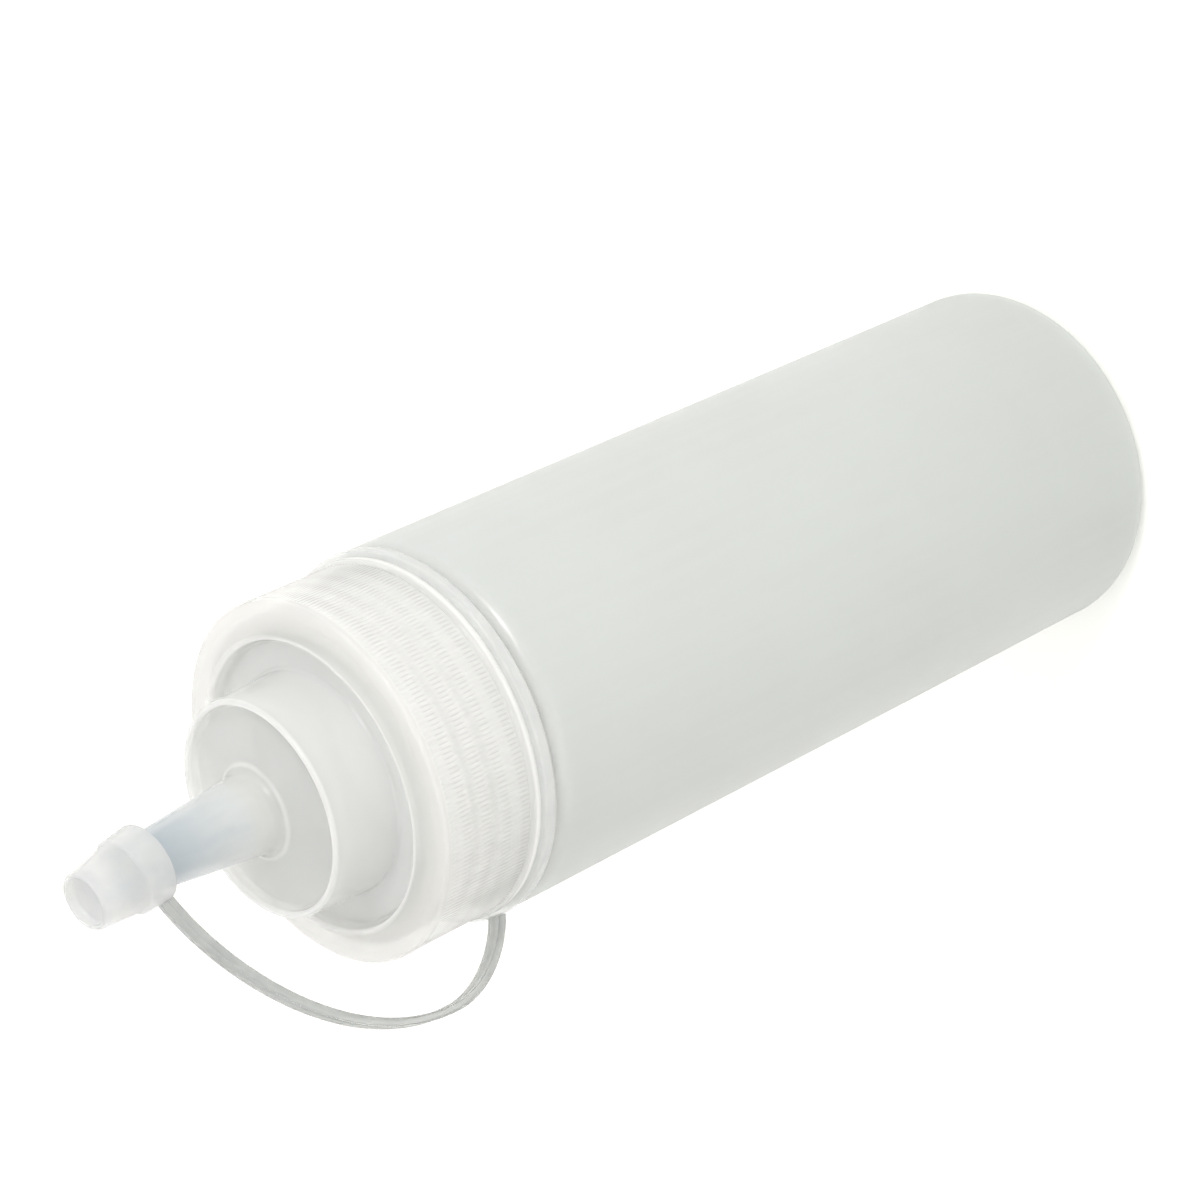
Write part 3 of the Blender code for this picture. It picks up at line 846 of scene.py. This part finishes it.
def make_closure():
    count = RIB_COUNT * RIB_POINTS
    band = []
    for height, share in (
        (RIB_FOOT, 0.0),
        (RIB_FOOT + RIB_RAMP, 0.8),
        (RIB_FOOT + 2 * RIB_RAMP, 1.0),
        (CEILING - 2 * RIB_RAMP, 1.0),
        (CEILING - RIB_RAMP, 0.8),
        (CEILING, 0.0),
    ):
        band.append((ribbed(share), height, count))
    lip_radius = RING_BORE + LIP_CATCH
    lip_top = SKIRT_FOOT + LIP_HEIGHT
    spigot_radius = RING_BORE - FIT_GAP
    bead_radius = LEDGE_RADIUS + BEAD_STAND
    bead_top = BEAD_FOOT + BEAD_HEIGHT
    inner_floor = WELL_FLOOR - CLOSURE_WALL
    tip_bore = NOZZLE_TIP_RADIUS - NOZZLE_WALL
    foot_bore = NOZZLE_FOOT_RADIUS - NOZZLE_WALL
    outline = rounded([
        (LEDGE_RADIUS, CEILING, 0),
        (LEDGE_RADIUS, LAND_EDGE - TOP_CORNER_DROP, TOP_CORNER),
        (LAND_OUTER_RADIUS, LAND_EDGE, BLEND_ROUND),
        (LAND_INNER_RADIUS, LAND_EDGE + LAND_RISE, BLEND_ROUND),
        (WELL_OUTER_RADIUS, WELL_FLOOR, BLEND_ROUND),
        (CENTRE_FOOT_RADIUS, WELL_FLOOR, FOOT_ROUND),
        (CENTRE_RIM_RADIUS, CENTRE_RIM, EDGE_ROUND),
        (DISH_RADIUS, CENTRE_RIM, EDGE_ROUND),
        (DISH_RADIUS, DISH_EDGE, DISH_ROUND),
        (NOZZLE_FOOT_RADIUS, NOZZLE_FOOT, NOZZLE_FOOT_ROUND),
        (NOZZLE_TIP_RADIUS, NOZZLE_TIP, SMALL_ROUND),
        (tip_bore, NOZZLE_TIP, SMALL_ROUND),
        (foot_bore, NOZZLE_FOOT - CLOSURE_WALL, NOZZLE_FOOT_ROUND + CLOSURE_WALL),
        (CENTRE_RIM_RADIUS - CLOSURE_WALL, DISH_EDGE - CLOSURE_WALL, BLEND_ROUND),
        (CENTRE_FOOT_RADIUS - CLOSURE_WALL, inner_floor, BLEND_ROUND),
        (NECK_BORE, inner_floor, SMALL_ROUND),
        (NECK_BORE, CEILING, 0),
        (SKIRT_BORE, CEILING, SMALL_ROUND),
        (SKIRT_BORE, SKIRT_FOOT, SMALL_ROUND),
        (lip_radius, SKIRT_FOOT, FINE_ROUND),
        (lip_radius, lip_top, 0),
        (spigot_radius, lip_top, 0),
        (spigot_radius, BEAD_FOOT, 0),
        (bead_radius, BEAD_FOOT, EDGE_ROUND),
        (bead_radius, bead_top, EDGE_ROUND),
        (LEDGE_RADIUS, RIB_FOOT, 0),
    ], False)
    mesh = turned(band + plain(outline), closed=True)
    ridge = thread_ridge(
        SKIRT_BORE, SKIRT_BORE - THREAD_DEPTH, CLOSURE_THREAD_START, CLOSURE_THREAD_TURNS
    )
    return with_ridge("nozzle_top", mesh, ridge, closure_plastic)


closure = make_closure()
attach(closure, "closure")
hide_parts("nozzle_closure")

# %% [markdown]
# ## The leash
#
# The ring sits on a step under the skirt, and turns there. The tip cap is a small hollow cone with a
# band round its foot and a recess in its end. Both are turned outlines like the pieces above.

# %% Ring and tip cap
CAP_LENGTH = 0.0133
CAP_BAND_LENGTH = 0.0050
CAP_BAND_RADIUS = 0.0068
CAP_BAND_TAPER = 0.0003
CAP_BAND_SLOPE = 0.0005
CAP_CONE_RADIUS = 0.0060
CAP_END_RADIUS = 0.00485
CAP_RECESS_RADIUS = 0.00415
CAP_RECESS = 0.0015
CAP_END_WALL = 0.0010
CAP_BORE_TOP_RADIUS = 0.00385
CAP_BORE_MIDDLE_RADIUS = 0.00511
CAP_BORE_MIDDLE = 0.0047
CAP_BORE_FOOT_RADIUS = 0.00559
CAP_POINTS = 128


def make_ring():
    points = rounded([
        (RING_BORE, RING_FOOT, FINE_ROUND),
        (RING_RADIUS, RING_FOOT, LIP_ROUND),
        (RING_RADIUS, RING_FOOT + RING_HEIGHT, LIP_ROUND),
        (RING_BORE, RING_FOOT + RING_HEIGHT, FINE_ROUND),
    ], True)
    return finished("leash_collar", turned(plain(points), closed=True), ring_plastic)


def cap_frame():
    """The tip cap's own frame: its origin in the middle of its rim, leaning towards -X."""
    return Matrix.Translation((0, 0, CAP_RIM)) @ Matrix.Rotation(-CAP_LEAN_ANGLE, 4, "Y")


def make_tip_cap():
    end_floor = CAP_LENGTH - CAP_RECESS
    bore_top = end_floor - CAP_END_WALL
    points = rounded([
        (0, bore_top, 0),
        (CAP_BORE_TOP_RADIUS, bore_top, EDGE_ROUND),
        (CAP_BORE_MIDDLE_RADIUS, CAP_BORE_MIDDLE, EDGE_ROUND),
        (CAP_BORE_FOOT_RADIUS, 0, SMALL_ROUND),
        (CAP_BAND_RADIUS, 0, EDGE_ROUND),
        (CAP_BAND_RADIUS - CAP_BAND_TAPER, CAP_BAND_LENGTH, EDGE_ROUND),
        (CAP_CONE_RADIUS, CAP_BAND_LENGTH + CAP_BAND_SLOPE, LIP_ROUND),
        (CAP_END_RADIUS, CAP_LENGTH, EDGE_ROUND),
        (CAP_RECESS_RADIUS, CAP_LENGTH, FINE_ROUND),
        (CAP_RECESS_RADIUS, end_floor, EDGE_ROUND),
        (0, end_floor, 0),
    ], False)
    cap = finished("nozzle_tip_cap", turned(plain(points, CAP_POINTS)), cap_plastic)
    cap.data.transform(cap_frame())
    return cap


ring = make_ring()
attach(ring, "leash")
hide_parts("leash_ring")
tip_cap = make_tip_cap()
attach(tip_cap, "tip_cap")
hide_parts("tip_cap")

# %% [markdown]
# ## The strap
#
# The strap has an I section: two thick edges with a thin web between. It follows two smooth curves
# that meet at the widest point of the bow. When the tip cap is pulled off, its upper end goes with
# the cap and its lower end stays on the ring.

# %% Strap
STRAP_WIDTH = 0.0035
STRAP_THICKNESS = 0.0014
STRAP_RIM_WIDTH = 0.0008
STRAP_WEB_THICKNESS = 0.0007
STRAP_STEPS = 40
STRAP_CAP_ANGLE = radians(16.1)
STRAP_RING_ANGLE = radians(26.5)
STRAP_BITE = 0.0002
BOW_REACH = 0.0425
BOW_RISE = 0.0155
RING_HANDLE = 0.0053
BOW_LOWER_HANDLE = 0.0070
BOW_UPPER_HANDLE = 0.0202
CAP_HANDLE = 0.0163


def curve_points(start, start_handle, end_handle, end, steps):
    points = []
    for step in range(steps):
        along = step / steps
        back = 1 - along
        points.append(
            start * back**3
            + start_handle * 3 * back**2 * along
            + end_handle * 3 * back * along**2
            + end * along**3
        )
    return points


def strap_route():
    half = STRAP_THICKNESS / 2
    ring_middle = RING_FOOT + RING_HEIGHT / 2
    ring_end = Vector((-(RING_RADIUS - STRAP_BITE), 0, ring_middle))
    bow = Vector((-BOW_REACH, 0, ring_middle + BOW_RISE))
    cap_end = cap_frame() @ Vector((-CAP_BAND_RADIUS + STRAP_BITE, 0, half))
    leave_ring = Vector((-cos(STRAP_RING_ANGLE), 0, sin(STRAP_RING_ANGLE)))
    reach_cap = Vector((cos(STRAP_CAP_ANGLE), 0, sin(STRAP_CAP_ANGLE)))
    up = Vector((0, 0, 1))
    ring_handle = ring_end + leave_ring * RING_HANDLE
    cap_handle = cap_end - reach_cap * CAP_HANDLE
    lower = curve_points(ring_end, ring_handle, bow - up * BOW_LOWER_HANDLE, bow, STRAP_STEPS)
    upper = curve_points(bow, bow + up * BOW_UPPER_HANDLE, cap_handle, cap_end, STRAP_STEPS)
    return lower + upper + [cap_end], leave_ring, reach_cap


def strap_section():
    rim = STRAP_THICKNESS / 2
    web = STRAP_WEB_THICKNESS / 2
    edge = STRAP_WIDTH / 2
    inside = edge - STRAP_RIM_WIDTH
    outwards = [
        (-rim, -edge), (rim, -edge), (rim, -inside), (web, -inside), (web, inside), (rim, inside),
        (rim, edge), (-rim, edge), (-rim, inside), (-web, inside), (-web, -inside), (-rim, -inside),
    ]
    corners = rounded([(*corner, FINE_ROUND) for corner in outwards], True)
    return [(corner.x, corner.y) for corner in corners]


def make_strap():
    route, first_way, last_way = strap_route()
    mesh = bmesh.new()
    rings = []
    for index, point in enumerate(route):
        if index == 0:
            way = first_way
        elif index == len(route) - 1:
            way = last_way
        else:
            way = (route[index + 1] - route[index - 1]).normalized()
        across = Vector((-way.z, 0, way.x))
        rings.append([
            mesh.verts.new(point + across * out + Vector((0, side, 0)))
            for out, side in strap_section()
        ])
    for lower, upper in zip(rings, rings[1:]):
        for side in range(len(lower)):
            after = (side + 1) % len(lower)
            mesh.faces.new((lower[side], lower[after], upper[after], upper[side]))
    mesh.faces.new(rings[0])
    mesh.faces.new(rings[-1])
    strap = finished("leash_bow", mesh, strap_plastic)
    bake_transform(strap)
    return strap


strap = make_strap()
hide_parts("leash_strap")

# %% [markdown]
# ## Sealing washer
#
# The soft ring between the mouth and the closure is hidden, but it shows when the closure is off.

# %% Washer
WASHER_THICKNESS = 0.0017


def make_washer():
    foot = MOUTH_HEIGHT + FIT_GAP
    top = foot + WASHER_THICKNESS
    points = rounded([
        (NECK_BORE + FIT_GAP, foot, FINE_ROUND),
        (SKIRT_BORE - FIT_GAP, foot, FINE_ROUND),
        (SKIRT_BORE - FIT_GAP, top, FINE_ROUND),
        (NECK_BORE + FIT_GAP, top, FINE_ROUND),
    ], True)
    return finished("foam_washer", turned(plain(points), closed=True), closure_plastic)


washer = make_washer()
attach(washer, "washer")
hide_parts("sealing_washer")

# %% [markdown]
# ## Finish

# %% Finish
bpy.context.view_layer.update()
